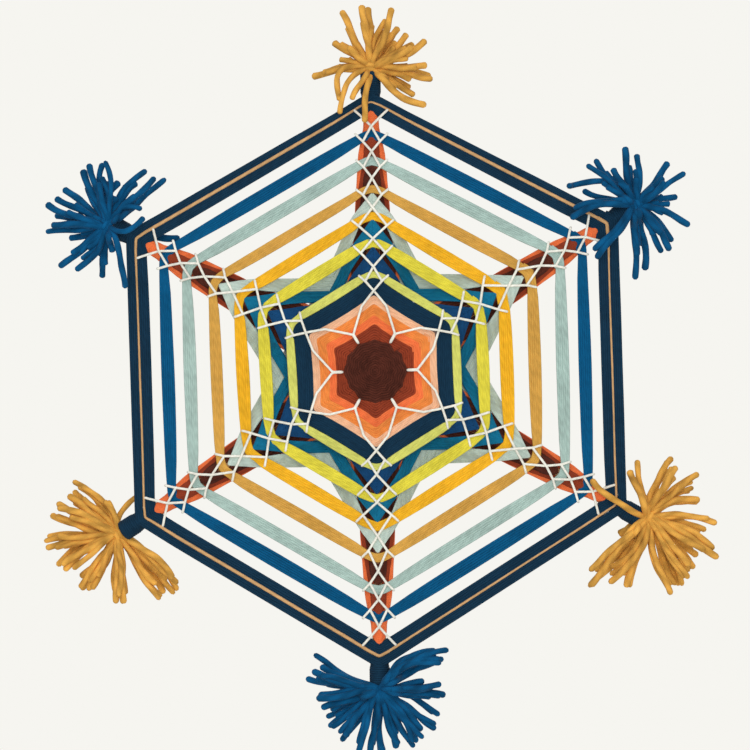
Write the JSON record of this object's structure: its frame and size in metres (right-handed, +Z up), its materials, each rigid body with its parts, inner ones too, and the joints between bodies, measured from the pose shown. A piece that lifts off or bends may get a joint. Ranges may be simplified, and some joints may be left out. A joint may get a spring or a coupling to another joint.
{
  "type": "ojo de dios",
  "caption": "Hexagonal yarn wall ornament: crossed sticks wound with concentric coloured hexagons round a central eye, a star behind, white lacing along the arms and yarn tufts on the ends.",
  "frame": {"origin": "the wall plane straight behind the crossing of the sticks", "axes": "+X to the viewer's right, +Y into the wall, +Z up as it hangs; the front faces -Y"},
  "size_m": [0.2971, 0.0293, 0.3317],
  "materials": {
    "wood": "bare dowel",
    "yarn_dark_brown": "wound yarn",
    "yarn_rust": "wound yarn",
    "yarn_coral": "wound yarn",
    "yarn_orange": "wound yarn",
    "yarn_peach": "wound yarn",
    "yarn_navy": "wound yarn",
    "yarn_star_navy": "wound yarn",
    "yarn_teal": "wound yarn",
    "yarn_sage": "wound yarn",
    "yarn_lime": "wound yarn",
    "yarn_yellow": "wound yarn",
    "yarn_gold": "wound yarn",
    "yarn_ochre": "wound yarn",
    "yarn_blue": "wound yarn",
    "yarn_tan": "wound yarn",
    "lace_white": "twisted thread",
    "tuft_blue": "cut yarn",
    "tuft_gold": "cut yarn"
  },
  "bodies": {
    "root": {"stick_rising": "wood", "stick_upright": "wood", "stick_falling": "wood", "eye_dark_brown": "yarn_dark_brown", "eye_rust": "yarn_rust", "eye_coral": "yarn_coral", "eye_orange": "yarn_orange", "eye_peach": "yarn_peach", "eye_navy": "yarn_navy", "ring_lime": "yarn_lime", "ring_yellow": "yarn_yellow", "ring_gold": "yarn_gold", "ring_ochre": "yarn_ochre", "ring_sage": "yarn_sage", "ring_blue": "yarn_blue", "ring_navy_inner": "yarn_navy", "ring_tan": "yarn_tan", "ring_navy_outer": "yarn_navy", "star_navy_a": "yarn_star_navy", "star_navy_b": "yarn_star_navy", "star_teal_a": "yarn_teal", "star_teal_b": "yarn_teal", "star_sage_a": "yarn_sage", "star_sage_b": "yarn_sage", "spindle_brown_rising": "yarn_dark_brown", "spindle_brown_upright": "yarn_dark_brown", "spindle_brown_falling": "yarn_dark_brown", "spindle_rust_rising": "yarn_rust", "spindle_rust_upright": "yarn_rust", "spindle_rust_falling": "yarn_rust", "spindle_coral_rising": "yarn_coral", "spindle_coral_upright": "yarn_coral", "spindle_coral_falling": "yarn_coral", "tip_wrap_upper_right": "yarn_navy", "tip_wrap_top": "yarn_navy", "tip_wrap_upper_left": "yarn_navy", "tip_wrap_lower_left": "yarn_navy", "tip_wrap_bottom": "yarn_navy", "tip_wrap_lower_right": "yarn_navy", "lace_upper_right": "lace_white", "lace_top": "lace_white", "lace_upper_left": "lace_white", "lace_lower_left": "lace_white", "lace_bottom": "lace_white", "lace_lower_right": "lace_white", "tuft_upper_right": "tuft_blue", "tuft_top": "tuft_gold", "tuft_upper_left": "tuft_blue", "tuft_lower_left": "tuft_gold", "tuft_bottom": "tuft_blue", "tuft_lower_right": "tuft_gold"}
  },
  "joints": []
}
